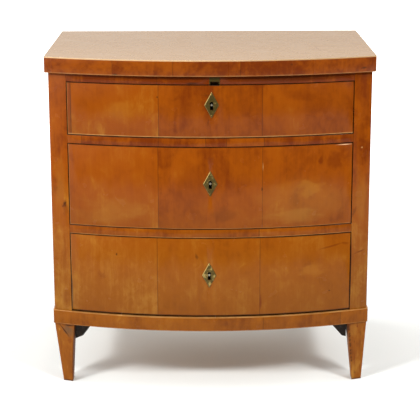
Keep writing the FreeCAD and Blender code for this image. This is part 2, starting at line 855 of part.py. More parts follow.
def make_lock_case(drawer):
    """The lock's case and selvedge, its room for the key and the bolt, and its riveted drill pin."""
    body = new_body(f"{drawer.name}_lock_case", drawer.level)
    x, height, top = drawer.key_shift, key_height(drawer), front_top(drawer)
    low, high = x - s.lock_width / 2, x + s.lock_width / 2
    back = lock_front + s.lock_thickness
    board(body, (low, lock_front, height - s.lock_below_key), (high, back, top))
    box(body, "Additive", "selvedge", (low, back - s.selvedge_depth, top - s.selvedge_thickness),
        (high, back, top))
    cylinder(body, "Subtractive", "key_room", (x, lock_front, height), s.key_room_radius,
             s.lock_thickness - s.lock_wall, backwards=True)
    half = s.bolt_width / 2 + s.bolt_clearance
    box(body, "Subtractive", "bolt_way",
        (bolt_x(drawer) - half, bolt_front - s.bolt_clearance, height + s.bolt_above_key - s.bolt_clearance),
        (bolt_x(drawer) + half, bolt_front + bolt_thickness + s.bolt_clearance, top))
    pin_front = front_face + s.lock_pin_setback
    cylinder(body, "Additive", "drill_pin", (x, pin_front, height), s.lock_pin_radius,
             back - pin_front, backwards=True)


def make_lock_bolt(drawer):
    body = new_body(f"{drawer.name}_lock_bolt", drawer.level)
    half = s.bolt_width / 2
    board(body, (bolt_x(drawer) - half, bolt_front, key_height(drawer) + s.bolt_above_key),
          (bolt_x(drawer) + half, bolt_front + bolt_thickness, front_top(drawer)))


def make_drawer(drawer):
    make_drawer_front(drawer)
    for word, side in SIDES.items():
        make_drawer_side(drawer, word, side)
    make_drawer_back(drawer)
    make_drawer_bottom(drawer)
    make_escutcheon(drawer)
    make_escutcheon_pins(drawer)
    make_lock_case(drawer)
    make_lock_bolt(drawer)


# ---------------------------------------------------------------- the whole chest

top_drawer, middle_drawer, bottom_drawer = DRAWERS

make_top()
make_top_rail(top_drawer)
make_strike_plate(top_drawer)
make_rail("upper_drawer_rail", upper_rail_level, s.rail_thickness, middle_drawer)
make_rail("lower_drawer_rail", lower_rail_level, s.rail_thickness, bottom_drawer)
make_plinth_front()
make_plinth_back()
make_bottom_board()
make_back_board("lower", ZERO, (top_underside - plinth_top) / 2)
make_back_board("upper", (top_underside - plinth_top) / 2, top_underside - plinth_top)
make_back_nails()
make_back_blocks()
make_drawer_stops()
for side_word, side_sign in SIDES.items():
    make_side_panel(side_word, side_sign)
    make_stile(side_word, side_sign)
    make_plinth_side(side_word, side_sign)
    make_leg("front", side_word, side_sign)
    make_leg("back", side_word, side_sign)
    make_front_block(side_word, side_sign)
    make_runner(top_drawer, side_word, side_sign)
    make_runner(middle_drawer, side_word, side_sign)
    make_bottom_guide(side_word, side_sign)
    make_kicker(side_word, side_sign)
for one_drawer in DRAWERS:
    make_drawer(one_drawer)

doc.recompute()

for thing in doc.Objects:
    if "Invalid" in thing.State or "Error" in thing.State:
        raise RuntimeError(f"{thing.Label} did not build: {thing.State}")
for part in parts:
    if part.Shape.isNull() or not part.Shape.isValid():
        raise RuntimeError(f"{part.Label} has no valid shape")

os.makedirs("parts", exist_ok=True)
for part in parts:
    part.Shape.exportStep(os.path.join("parts", f"{part.Label}.step"))
print(f"{len(parts)} sub-parts written")
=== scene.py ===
"""The looks of a bow front chest of drawers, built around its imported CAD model. Metres, +Z up."""
import math

import bmesh
import bpy
from mathutils import Matrix, Vector


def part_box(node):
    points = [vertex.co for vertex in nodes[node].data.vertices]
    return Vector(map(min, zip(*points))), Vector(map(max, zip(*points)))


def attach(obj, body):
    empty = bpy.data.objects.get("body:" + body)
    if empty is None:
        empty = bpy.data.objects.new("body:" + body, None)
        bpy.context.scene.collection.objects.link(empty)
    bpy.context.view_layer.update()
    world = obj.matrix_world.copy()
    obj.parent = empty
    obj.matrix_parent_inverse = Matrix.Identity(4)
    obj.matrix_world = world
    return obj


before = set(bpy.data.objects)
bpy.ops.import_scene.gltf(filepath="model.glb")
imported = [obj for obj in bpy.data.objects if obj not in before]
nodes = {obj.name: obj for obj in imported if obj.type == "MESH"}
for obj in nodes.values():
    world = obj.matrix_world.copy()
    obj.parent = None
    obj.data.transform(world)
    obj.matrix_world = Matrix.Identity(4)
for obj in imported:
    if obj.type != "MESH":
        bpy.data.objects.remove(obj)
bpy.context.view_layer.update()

MM = 0.001
LEFT, RIGHT = -1, 1
SIDES = {"left": LEFT, "right": RIGHT}
DRAWERS = ("top", "middle", "bottom")

# ---------------------------------------------------------------- places on the chest

slab_low, slab_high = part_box("top_board")
stile_low, stile_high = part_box("front_stile_right")
plinth_low, plinth_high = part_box("plinth_front")
rail_low, rail_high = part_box("upper_drawer_rail")
lower_rail_low, lower_rail_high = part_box("lower_drawer_rail")
case_half = stile_high.x
opening_half = stile_low.x
apex = rail_low.y
rise = stile_low.y - apex
bow_radius = (opening_half ** 2 + rise ** 2) / (2 * rise)
bow_centre = apex + bow_radius
slab_radius = bow_centre - slab_low.y

MIDDLE_HEIGHT = 0.45        # a leaf has its own tone here, is darker above and lighter below
RED_ABOVE = 0.56            # above this height the veneer is at its reddest
GOLDEN_BELOW = 0.20         # below this height it is golden brown
VENEER = 1.2 * MM           # how thick the veneer is
FEATHER = 0.2 * MM          # the veneer turns to core over twice this distance
DIRTY_CORE = 24 * MM        # a board's bare edges are grimy this far behind its veneered face


# ---------------------------------------------------------------- colours, linear

# veneer, from light to dark, high on the chest and low on it
HONEY = (0.455, 0.180, 0.016)
AMBER = (0.300, 0.064, 0.0015)
RUSSET = (0.165, 0.026, 0.0012)
LOW_HONEY = (0.420, 0.180, 0.022)
LOW_AMBER = (0.265, 0.075, 0.003)
LOW_RUSSET = (0.150, 0.034, 0.002)

# veneer that is worn, dirty, faded by the sun, rubbed on its arris or bare; some of these also paint
# highlights and shade
# wear, which also paints a highlight along the drawers' left edges
WORN_AND_HIGHLIGHT = (0.560, 0.280, 0.085)
# dirt, which also paints shade in and beside the gaps, under the top and on the left leg
GRIME_AND_SHADE = (0.045, 0.012, 0.003)
FADED = (0.300, 0.160, 0.050)
FADED_DARK = (0.230, 0.110, 0.032)
FADED_PALE = (0.440, 0.250, 0.100)
# a rubbed arris, which also paints the highlight on the top's front arris
ARRIS = (0.900, 0.600, 0.330)
BARE = (0.125, 0.066, 0.030)

PINE = (0.460, 0.270, 0.115)
PINE_RING = (0.300, 0.145, 0.048)
PINE_KNOT = (0.110, 0.042, 0.013)
BLOCK = (0.030, 0.023, 0.018)
BLOCK_WORN = (0.075, 0.055, 0.038)

BRASS = (0.560, 0.400, 0.125)
VERDIGRIS = (0.040, 0.042, 0.008)
TARNISH = (0.088, 0.043, 0.006)
IRON = (0.060, 0.052, 0.046)
RUST = (0.130, 0.055, 0.022)
STEEL = (0.480, 0.460, 0.420)
PIN = (0.520, 0.480, 0.370)
WHITE = (1.0, 1.0, 1.0)

# how strongly a finish mirrors what is around it
POLISHED_IOR = 1.26
WAXED_IOR = 1.36
BRASS_IOR = 1.3
ROUGH_WOOD_IOR = 1.4
PLAIN_IOR = 1.45


# ---------------------------------------------------------------- shader tools

class Graph:
    """A node tree made by calls that return their output sockets."""

    def __init__(self, tree):
        self.tree = tree
        self.tree.nodes.clear()

    def add(self, kind, inputs=(), **settings):
        node = self.tree.nodes.new("ShaderNode" + kind)
        for name, value in settings.items():
            setattr(node, name, value)
        for key, value in dict(inputs).items():
            self.plug(node.inputs[key], value)
        return node

    def plug(self, socket, value):
        if isinstance(value, bpy.types.NodeSocket):
            self.tree.links.new(value, socket)
        elif socket.type == "RGBA" and len(value) == 3:
            socket.default_value = (*value, 1.0)
        else:
            socket.default_value = value

    def math(self, operation, *values):
        return self.add("Math", enumerate(values), operation=operation).outputs[0]

    def plus(self, *values):
        total = values[0]
        for value in values[1:]:
            total = self.math("ADD", total, value)
        return total

    def times(self, *values):
        product = values[0]
        for value in values[1:]:
            product = self.math("MULTIPLY", product, value)
        return product

    def about(self, value, amount):
        """A 0 to 1 signal turned into plus or minus half of amount."""
        return self.math("MULTIPLY_ADD", value, amount, -amount / 2)

    def smooth(self, value, low, high):
        """0 below low and 1 above high, or the other way round where low is the larger."""
        flip = low > high
        inputs = {"Value": value, "From Min": min(low, high), "From Max": max(low, high)}
        inputs.update({"To Min": 1.0, "To Max": 0.0} if flip else {"To Min": 0.0, "To Max": 1.0})
        return self.add("MapRange", inputs, interpolation_type="SMOOTHSTEP").outputs[0]

    def mix(self, factor, first, second):
        node = self.add("Mix", data_type="RGBA")
        self.plug(node.inputs[0], factor)
        self.plug(node.inputs[6], first)
        self.plug(node.inputs[7], second)
        return node.outputs[2]

    def join(self, x, y, z):
        return self.add("CombineXYZ", {0: x, 1: y, 2: z}).outputs[0]

    def split(self, vector):
        return self.add("SeparateXYZ", {0: vector}).outputs

    def noise(self, place, scale, detail=2.0, roughness=0.5, bend=0.0):
        inputs = {"Vector": place, "Scale": scale, "Detail": detail, "Roughness": roughness,
                  "Distortion": bend}
        return self.add("TexNoise", inputs).outputs[0]

    def bump(self, height, distance, strength=1.0):
        inputs = {"Height": height, "Distance": distance, "Strength": strength}
        return self.add("Bump", inputs).outputs[0]

    def finish(self, colour, roughness, normal, metallic=0.0, ior=POLISHED_IOR):
        inputs = {"Base Color": colour, "Roughness": roughness, "Normal": normal,
                  "Metallic": metallic, "IOR": ior}
        shader = self.add("BsdfPrincipled", inputs)
        self.add("OutputMaterial", {"Surface": shader.outputs[0]})


def new_material(name):
    material = bpy.data.materials.new(name)
    material.use_nodes = True
    return material, Graph(material.node_tree)


def own_place(g):
    """The place on the piece, which stays with the piece as it moves."""
    return g.add("TexCoord").outputs["Object"]


# ---------------------------------------------------------------- wood

class Mark:
    """A knot, stain, scratch or patch of painted shade: an ellipse at a place on the piece, in
    metres, turned by degrees.
    """

    FULL_WITHIN, GONE_BEYOND = 0.3, 1.1     # shares of the ellipse's half sizes

    def __init__(self, a, b, half_a, half_b, colour, strength=0.7, turn=0.0, ragged=0.5):
        self.centre = (a, b)
        self.halves = (half_a, half_b)
        self.colour = colour
        self.strength = strength
        self.turn = math.radians(turn)
        self.ragged = ragged

    def paint(self, g, a, b, colour):
        a = g.math("SUBTRACT", a, self.centre[0])
        b = g.math("SUBTRACT", b, self.centre[1])
        cosine, sine = math.cos(self.turn), math.sin(self.turn)
        along = g.plus(g.times(a, cosine), g.times(b, sine))
        across = g.plus(g.times(b, cosine), g.times(a, -sine))
        along = g.math("DIVIDE", along, self.halves[0])
        across = g.math("DIVIDE", across, self.halves[1])
        reach = g.math("SQRT", g.plus(g.times(along, along), g.times(across, across)))
        edge = g.noise(g.join(along, across, self.centre[0] * 90), 1.3, 2.0)
        reach = g.plus(reach, g.about(edge, self.ragged * 2))
        inside = g.smooth(reach, self.GONE_BEYOND, self.FULL_WITHIN)
        return g.mix(g.times(inside, self.strength), colour, self.colour)


class Band:
    """Wear, dirt, painted shade or a painted highlight along a straight edge, at a level of one of
    the letters x, y and z.
    """

    def __init__(self, letter, level, width, colour, strength=0.6, patchy=0.5):
        self.letter = letter
        self.level = level
        self.width = width
        self.colour = colour
        self.strength = strength
        self.patchy = patchy

    def paint(self, g, letters, colour):
        distance = g.math("ABSOLUTE", g.math("SUBTRACT", letters[self.letter], self.level))
        others = [letters[letter] for letter in "xyz" if letter != self.letter]
        breaks = g.noise(g.join(*others, self.level * 50), 28.0, 3.0, 0.6)
        near = g.smooth(distance, self.width, self.width * 0.4)
        held = g.math("MULTIPLY_ADD", g.smooth(breaks, 0.62, 0.36), self.patchy, 1 - self.patchy)
        return g.mix(g.times(near, held, self.strength), colour, self.colour)


def veneer_figure(g, across, along, depth, tone, seed, contrast, ramp, mottled=1.0):
    """Colour and relief of polished birch veneer whose grain runs along.

    Tone goes from 0 to 1 through the ramp's dark, middle and light colours.
    """
    base = g.plus(g.times(depth, 0.6), seed)
    cloudy = g.noise(g.join(across, g.times(along, 0.6), base), 13.0, 3.0, 0.55, 0.5)
    mottle = g.noise(g.join(across, g.times(along, 0.7), g.plus(base, 3.1)), 48.0, 3.0, 0.6, 0.8)
    streak = g.noise(g.join(across, g.times(along, 0.06), g.plus(base, 5.7)), 120.0, 3.0, 0.6, 0.2)
    pore = g.noise(g.join(across, g.times(along, 0.05), g.plus(base, 8.3)), 1200.0, 2.0, 0.6)
    level = g.plus(tone,
                   g.about(cloudy, 0.95 * contrast), g.about(mottle, 0.50 * contrast * mottled),
                   g.about(streak, 0.34 * contrast), g.about(pore, 0.20 * contrast * mottled))
    dark, middle, light = ramp
    colour = g.mix(g.smooth(level, -0.1, 0.5), dark, middle)
    colour = g.mix(g.smooth(level, 0.45, 1.1), colour, light)
    relief = g.plus(g.times(streak, 0.5), g.times(pore, 0.5))
    return colour, relief


def height_ramp(g, z):
    """The veneer's dark, middle and light colours, which go from red above to golden brown below."""
    golden_share = g.smooth(z, RED_ABOVE, GOLDEN_BELOW)
    pairs = ((RUSSET, LOW_RUSSET), (AMBER, LOW_AMBER), (HONEY, LOW_HONEY))
    return [g.mix(golden_share, above, below) for above, below in pairs]


def leaf_tone(g, across, joints, tones, shift):
    """The tone of each veneer leaf between its joints, and a value that differs from leaf to leaf."""
    tone, number = tones[0], shift
    for joint, before, after in zip(joints, tones, tones[1:]):
        beyond = g.math("GREATER_THAN", across, joint)
        tone = g.plus(g.times(beyond, after - before), tone)
        number = g.plus(g.times(beyond, 1.7), number)
    return tone, number


def joint_lines(g, across, joints, half_width=0.5 * MM):
    """1 on the hairline joints between leaves."""
    line = 0.0
    for joint in joints:
        distance = g.math("ABSOLUTE", g.math("SUBTRACT", across, joint))
        line = g.math("MAXIMUM", line, g.smooth(distance, half_width * 2, half_width))
    return line


def pine_figure(g, across, along, depth, seed):
    """Colour and relief of aged bare pine whose grain runs along."""
    warp = g.noise(g.join(across, g.times(along, 0.25), seed), 6.0, 2.0)
    wavy = g.plus(across, g.times(warp, 0.05))
    stretched = g.times(along, 0.02)
    rings = g.noise(g.join(wavy, stretched, depth), 170.0, 2.0)
    fibre = g.noise(g.join(across, stretched, g.plus(depth, seed + 2.0)), 900.0, 2.0, 0.6)
    dirt = g.noise(g.join(across, along, g.plus(depth, seed + 4.0)), 9.0, 3.0)
    colour = g.mix(g.smooth(rings, 0.48, 0.68), PINE, PINE_RING)
    colour = g.mix(g.times(g.smooth(fibre, 0.35, 0.8), 0.35), colour, PINE_RING)
    colour = g.mix(g.times(g.smooth(dirt, 0.50, 0.85), 0.35), colour, PINE_KNOT)
    return colour, g.plus(g.times(rings, 0.5), g.times(fibre, 0.5))


def grain_letters(g, axes):
    """The letters' sockets, and the sockets across, along and through the grain."""
    letters = dict(zip("xyz", g.split(own_place(g))))
    across, along = (letters[letter] for letter in axes)
    depth = letters[({"x", "y", "z"} - set(axes)).pop()]
    return letters, across, along, depth


VENEER_ROUGHNESS = 0.25
CORE_ROUGHNESS = 0.65


def veneer(name, axes, seed, faced=None, joints=(), tones=(0.5,), falls=0.0, contrast=1.0,
           bands=(), marks=()):
    """Veneer where faced says so, and bare pine elsewhere.

    Axes are the letters across and along the grain. The leaves meet at the joints, and each has
    its tone, which gets lighter downwards by falls for each metre.
    """
    material, g = new_material(name)
    letters, across, along, depth = grain_letters(g, axes)
    tone, number = leaf_tone(g, across, joints, tones, seed)
    if falls:
        tone = g.plus(tone, g.times(g.math("SUBTRACT", MIDDLE_HEIGHT, letters["z"]), falls))
    ramp = height_ramp(g, letters["z"])
    colour, relief = veneer_figure(g, across, along, depth, tone, number, contrast, ramp)
    if joints:
        colour = g.mix(g.times(joint_lines(g, across, joints), 0.55), colour, GRIME_AND_SHADE)
    for mark in marks:
        colour = mark.paint(g, across, along, colour)
    for band in bands:
        colour = band.paint(g, letters, colour)
    rough = VENEER_ROUGHNESS
    if faced:
        mask = faced(g, **letters)
        core, core_relief = pine_figure(g, across, along, depth, seed)
        core = g.mix(g.times(faced(g, reach=DIRTY_CORE, **letters), 0.85), core, GRIME_AND_SHADE)
        colour = g.mix(mask, core, colour)
        relief = g.plus(g.times(mask, g.math("SUBTRACT", relief, core_relief)), core_relief)
        rough = g.math("MULTIPLY_ADD", mask, VENEER_ROUGHNESS - CORE_ROUGHNESS, CORE_ROUGHNESS)
    cloud = g.noise(g.join(across, along, seed), 30.0, 3.0)
    g.finish(colour, g.plus(g.about(cloud, 0.14), rough), g.bump(relief, 0.04 * MM))
    return material


def bare_pine(name, axes, seed, joint_ends=None):
    """Bare pine. Where a board's joint ends are given, its dovetails show at them."""
    material, g = new_material(name)
    letters, across, along, depth = grain_letters(g, axes)
    colour, relief = pine_figure(g, across, along, depth, seed)
    if joint_ends:
        colour = dovetails(g, letters, colour, *joint_ends)
    g.finish(colour, 0.7, g.bump(relief, 0.25 * MM), ior=PLAIN_IOR)
    return material


TAIL_PITCH = 38 * MM
TAIL_LENGTH = 14 * MM
TAIL_SLOPE = 0.28
PIN_HALF = 4 * MM       # half the width of a pin at the board's end


def dovetails(g, letters, colour, front, back, outside):
    """The end grain of the pins between the tails, and the fine dark lines around them."""
    outer = g.smooth(g.math("ABSOLUTE", letters["x"]), outside - 0.6 * MM, outside - 0.3 * MM)
    beside = g.math("PINGPONG", letters["z"], TAIL_PITCH / 2)
    for end, into in ((front, 1.0), (back, -1.0)):
        deep = g.times(g.math("SUBTRACT", letters["y"], end), into)
        edge = g.math("SUBTRACT", beside, g.math("MULTIPLY_ADD", deep, TAIL_SLOPE, PIN_HALF))
        held = g.times(outer, g.smooth(deep, TAIL_LENGTH + 0.5 * MM, TAIL_LENGTH))
        pin = g.times(held, g.smooth(edge, 0.3 * MM, -0.3 * MM))
        outline = g.math("MINIMUM", g.math("ABSOLUTE", edge),
                         g.math("ABSOLUTE", g.math("SUBTRACT", deep, TAIL_LENGTH)))
        line = g.times(held, g.smooth(edge, 0.8 * MM, 0.6 * MM),
                       g.smooth(outline, 0.9 * MM, 0.5 * MM))
        colour = g.mix(g.times(pin, 0.9), colour, PINE_RING)
        colour = g.mix(g.times(line, 0.9), colour, PINE_KNOT)
    return colour


def radius_about_bow(g, x, y):
    """How far a place is from the upright line that the front and the top's edge bow around."""
    reach = g.math("SUBTRACT", bow_centre, y)
    return g.math("SQRT", g.plus(g.times(x, x), g.times(reach, reach)))


def within(g, distance, face, reach):
    """1 where the distance is less than reach short of the face."""
    return g.smooth(distance, face - reach - FEATHER, face - reach + FEATHER)


def on_bow(g, x, y, z, reach=VENEER):
    """1 within reach of the bowed front. As for every such test, all the letters come in."""
    return within(g, radius_about_bow(g, x, y), bow_radius, reach)


def on_outside(g, x, y, z, reach=VENEER):
    """1 within reach of the case's outer sides."""
    return within(g, g.math("ABSOLUTE", x), case_half, reach)


def dress(node, material):
    """Gives a CAD node its finish."""
    thing = nodes[node]
    thing.data.materials.clear()
    thing.data.materials.append(material)
    return thing


def soften(thing, width, segments=2):
    """Rounds the arrises without moving a face."""
    weld = thing.modifiers.new("weld", "WELD")
    weld.merge_threshold = 0.001 * MM
    bevel = thing.modifiers.new("arris", "BEVEL")
    bevel.width = width
    bevel.segments = segments
    bevel.limit_method = "ANGLE"
    bevel.angle_limit = math.radians(30)
    bevel.harden_normals = True


# ---------------------------------------------------------------- marks, as in the photograph

SLAB_MARKS = (
    Mark(0.368, 0.798, 9 * MM, 2.5 * MM, GRIME_AND_SHADE, 0.8, turn=8),
    Mark(0.192, 0.813, 4 * MM, 3 * MM, GRIME_AND_SHADE, 0.6),
    Mark(-0.226, 0.789, 6 * MM, 3 * MM, GRIME_AND_SHADE, 0.8, ragged=0.8),
)
TOP_SCRATCH = Mark(0.2666, -0.061, 62 * MM, 3.0 * MM, LOW_RUSSET, 0.30, turn=-86)

STILE_MARKS = {
    LEFT: (Mark(-0.366, 0.728, 22 * MM, 48 * MM, RUSSET, 0.20, ragged=0.5),
           Mark(-0.366, 0.500, 22 * MM, 75 * MM, LOW_HONEY, 0.26, ragged=0.7),
           Mark(-0.357, 0.455, 10 * MM, 24 * MM, RUSSET, 0.55, ragged=0.7),
           Mark(-0.358, 0.462, 5 * MM, 9 * MM, GRIME_AND_SHADE, 0.8, turn=-30, ragged=1.0),
           Mark(-0.368, 0.600, 4 * MM, 28 * MM, RUSSET, 0.55, ragged=0.6),
           Mark(-0.362, 0.330, 7 * MM, 60 * MM, RUSSET, 0.25),
           Mark(-0.360, 0.218, 15 * MM, 32 * MM, RUSSET, 0.30)),
    RIGHT: (Mark(0.369, 0.337, 17 * MM, 2.5 * MM, RUSSET, 0.7, turn=18),
            # this one is painted shade that makes the bottom drawer's gap look wider
            Mark(0.3475, 0.290, 1.8 * MM, 105 * MM, GRIME_AND_SHADE, 0.85, ragged=0.2),
            Mark(0.369, 0.601, 2.6 * MM, 2.6 * MM, WORN_AND_HIGHLIGHT, 0.8),
            Mark(0.366, 0.480, 22 * MM, 70 * MM, LOW_HONEY, 0.24, ragged=0.7),
            Mark(0.352, 0.440, 5 * MM, 14 * MM, GRIME_AND_SHADE, 0.35, turn=-20, ragged=1.0),
            Mark(0.366, 0.650, 9 * MM, 20 * MM, RUSSET, 0.4)),
}

RAIL_LOOKS = {
    # the top rail's darker tones, its first mark and its band below the top are painted shadow of the
    # top's overhang
    "top_rail": dict(
        joints=(-0.127,), tones=(-0.02, -0.10), contrast=1.8,
        marks=(Mark(0.185, 0.779, 165 * MM, 11 * MM, GRIME_AND_SHADE, 0.45, ragged=0.3),
               Mark(-0.040, 0.770, 22 * MM, 3 * MM, GRIME_AND_SHADE, 0.75, ragged=0.8)),
        bands=(Band("z", slab_low.z, 9 * MM, GRIME_AND_SHADE, 0.35, 0.3),)),
    "upper_drawer_rail": dict(
        joints=(-0.312, -0.125, -0.012, 0.038, 0.129), tones=(0.30, 0.12, 0.26, 0.08, 0.22, 0.20),
        contrast=1.7,
        # dark bands along the gaps above and below the rail: dirt and painted shade
        bands=(Band("z", rail_high.z, 1.8 * MM, GRIME_AND_SHADE, 0.75, 0.3),
               Band("z", rail_low.z, 1.2 * MM, GRIME_AND_SHADE, 0.5, 0.7))),
    "lower_drawer_rail": dict(
        joints=(0.118,), tones=(0.36, 0.42), contrast=1.4,
        marks=(Mark(0.005, 0.4005, 90 * MM, 20 * MM, LOW_RUSSET, 0.22),),
        bands=(Band("z", lower_rail_low.z, 2.2 * MM, WORN_AND_HIGHLIGHT, 0.6, 0.5),
               # a dark band along the gap above the rail: dirt and painted shade
               Band("z", lower_rail_high.z, 1.4 * MM, GRIME_AND_SHADE, 0.7, 0.4))),
}

FLECK_HEIGHTS = (0.134, 0.123, 0.117, 0.106, 0.096, 0.091, 0.079, 0.071, 0.060, 0.052)
LEG_MARKS = {
    LEFT: (
        # the bare patch and its dark edges, with a painted shadow under the plinth along the leg's
        # top in the third
        Mark(-0.357, 0.134, 15 * MM, 19 * MM, BARE, 0.75, turn=30, ragged=0.5),
        Mark(-0.368, 0.134, 2.2 * MM, 26 * MM, GRIME_AND_SHADE, 0.9, turn=38, ragged=0.3),
        Mark(-0.355, 0.1478, 15 * MM, 2.6 * MM, GRIME_AND_SHADE, 0.8, ragged=0.3),
        Mark(-0.354, 0.109, 7 * MM, 9 * MM, RUSSET, 0.5, ragged=0.7),
        Mark(-0.377, 0.095, 3 * MM, 42 * MM, RUSSET, 0.35, turn=3, ragged=0.7),
        Mark(-0.380, 0.135, 2.5 * MM, 4 * MM, HONEY, 0.7, ragged=0.9),
        # painted shade down the inner edge and over the inner side face
        Mark(-0.3468, 0.070, 2.9 * MM, 95 * MM, GRIME_AND_SHADE, 0.7, turn=-2.5, ragged=0.2)),
    RIGHT: (
        Mark(0.360, 0.132, 12 * MM, 22 * MM, LOW_HONEY, 0.40, ragged=0.6),
        Mark(0.345, 0.140, 5 * MM, 8 * MM, GRIME_AND_SHADE, 0.7, ragged=0.8),
        Mark(0.3685, 0.141, 2.6 * MM, 5 * MM, RUSSET, 0.8, ragged=0.8),
        Mark(0.3765, 0.122, 1.4 * MM, 9 * MM, GRIME_AND_SHADE, 0.5, turn=6, ragged=0.6),
        Mark(0.3620, 0.101, 1.4 * MM, 5 * MM, GRIME_AND_SHADE, 0.5, ragged=0.6),
        Mark(0.3645, 0.019, 2.0 * MM, 5 * MM, GRIME_AND_SHADE, 0.5, ragged=0.8),
        # flecks along the sloping inner edge
        *(Mark(0.3588 - 0.0873 * height, height, 3.0 * MM, 4.0 * MM, GRIME_AND_SHADE, 0.75, ragged=1.0)
          for height in FLECK_HEIGHTS),
        Mark(0.360, 0.055, 14 * MM, 42 * MM, LOW_RUSSET, 0.16, ragged=0.4),
        Mark(0.362, 0.060, 4 * MM, 30 * MM, RUSSET, 0.5, ragged=0.9)),
}

DRAWER_LOOKS = {
    "top": dict(joints=(-0.1245, 0.1237), tones=(0.60, 0.38, 0.42), marks=(
        # the first two are painted shade that makes the gap at the left look wider
        Mark(-0.3405, 0.7015, 5.0 * MM, 220 * MM, RUSSET, 0.55, ragged=0.05),
        Mark(-0.3368, 0.7015, 1.7 * MM, 220 * MM, GRIME_AND_SHADE, 0.65, ragged=0.05),
        Mark(-0.127, 0.736, 2.0 * MM, 3.0 * MM, GRIME_AND_SHADE, 0.8),
        Mark(-0.006, 0.676, 1.2 * MM, 10 * MM, GRIME_AND_SHADE, 0.6, turn=-6),
        Mark(-0.010, 0.742, 12 * MM, 5 * MM, GRIME_AND_SHADE, 0.3, ragged=1.0),
        Mark(-0.215, 0.700, 45 * MM, 30 * MM, HONEY, 0.25),
        Mark(0.225, 0.735, 55 * MM, 14 * MM, RUSSET, 0.35, turn=-8))),
    "middle": dict(joints=(-0.1267, 0.1249), tones=(0.50, 0.34, 0.38), marks=(
        Mark(-0.040, 0.520, 52 * MM, 70 * MM, RUSSET, 0.30, ragged=0.8),
        Mark(0.124, 0.510, 2.5 * MM, 5.0 * MM, GRIME_AND_SHADE, 0.85),
        Mark(0.126, 0.566, 1.0 * MM, 11 * MM, WORN_AND_HIGHLIGHT, 0.8),
        Mark(0.266, 0.575, 8 * MM, 12 * MM, RUSSET, 0.8, ragged=0.8),
        Mark(0.300, 0.572, 22 * MM, 28 * MM, RUSSET, 0.6, ragged=0.8),
        Mark(0.235, 0.480, 120 * MM, 62 * MM, LOW_HONEY, 0.20, ragged=0.5),
        Mark(0.028, 0.447, 46 * MM, 26 * MM, LOW_RUSSET, 0.35, ragged=0.8),
        Mark(0.240, 0.506, 36 * MM, 26 * MM, HONEY, 0.3, ragged=1.1),
        Mark(-0.235, 0.452, 100 * MM, 40 * MM, LOW_HONEY, 0.28, ragged=1.0),
        Mark(0.200, 0.440, 70 * MM, 22 * MM, LOW_HONEY, 0.35, ragged=0.9),
        Mark(0.325, 0.6115, 22 * MM, 1.2 * MM, ARRIS, 0.8, ragged=0.3))),
    "bottom": dict(joints=(-0.1308, 0.1201), tones=(0.52, 0.43, 0.44), marks=(
        Mark(0.294, 0.243, 3.0 * MM, 2.0 * MM, GRIME_AND_SHADE, 0.8),
        # these two are painted shade that makes the gaps at the left and above look wider
        Mark(-0.3440, 0.235, 2.2 * MM, 50 * MM, GRIME_AND_SHADE, 0.85, ragged=0.3),
        Mark(0.250, 0.3885, 100 * MM, 2.4 * MM, GRIME_AND_SHADE, 0.7, ragged=0.5),
        Mark(-0.231, 0.343, 2.5 * MM, 4.0 * MM, GRIME_AND_SHADE, 0.75),
        Mark(-0.270, 0.286, 12 * MM, 12 * MM, RUSSET, 0.35, ragged=1.2),
        Mark(-0.035, 0.343, 4 * MM, 9 * MM, GRIME_AND_SHADE, 0.5, turn=20, ragged=0.9),
        Mark(0.122, 0.223, 3.5 * MM, 22 * MM, RUSSET, 0.75),
        Mark(0.295, 0.357, 34 * MM, 3.5 * MM, RUSSET, 0.6, turn=12, ragged=0.8),
        Mark(0.330, 0.363, 14 * MM, 4 * MM, RUSSET, 0.5, turn=-10, ragged=0.8),
        Mark(0.245, 0.300, 42 * MM, 20 * MM, HONEY, 0.26, ragged=1.0))),
}
LOWER_EDGES = {
    "top": (3.0 * MM, WORN_AND_HIGHLIGHT, 0.85, 0.35),
    "middle": (1.9 * MM, WORN_AND_HIGHLIGHT, 0.45, 0.35),
    "bottom": (2.6 * MM, GRIME_AND_SHADE, 0.85, 0.25),    # painted shade that makes the gap below look wider
}


# ---------------------------------------------------------------- finishes of the nodes

def top_surface(g, letters, across, along, depth):
    """Colour and relief of the top's faded surface, whose grain runs from side to side, with a
    painted sheen that is paler towards the front.
    """
    x, y = letters["x"], letters["y"]
    ramp = (FADED_DARK, FADED, FADED_PALE)
    colour, relief = veneer_figure(g, across, along, depth, 0.46, 1.3, 0.34, ramp, mottled=0.1)
    # painted sheen: the top is paler towards the front
    painted_sheen_in_front = g.times(g.smooth(y, 0.10, -0.25), 0.30)
    colour = g.mix(painted_sheen_in_front, colour, FADED_PALE)
    return TOP_SCRATCH.paint(g, x, y, colour), relief


def slab_edge(g, letters, depth):
    """Colour and relief of the short upright leaves on the top's edge."""
    x, y, z = letters["x"], letters["y"], letters["z"]
    joints = (-0.2331, -0.0899, 0.0708)
    tone, number = leaf_tone(g, x, joints, (0.20, 0.24, 0.16, 0.10), 2.4)
    ramp = (RUSSET, AMBER, HONEY)
    colour, relief = veneer_figure(g, g.plus(x, y), z, depth, tone, number, 1.5, ramp)
    colour = g.mix(g.times(joint_lines(g, x, joints), 0.5), colour, GRIME_AND_SHADE)
    for mark in SLAB_MARKS:
        colour = mark.paint(g, x, z, colour)
    return Band("z", slab_low.z, 3.0 * MM, WORN_AND_HIGHLIGHT, 0.45).paint(g, letters, colour), relief


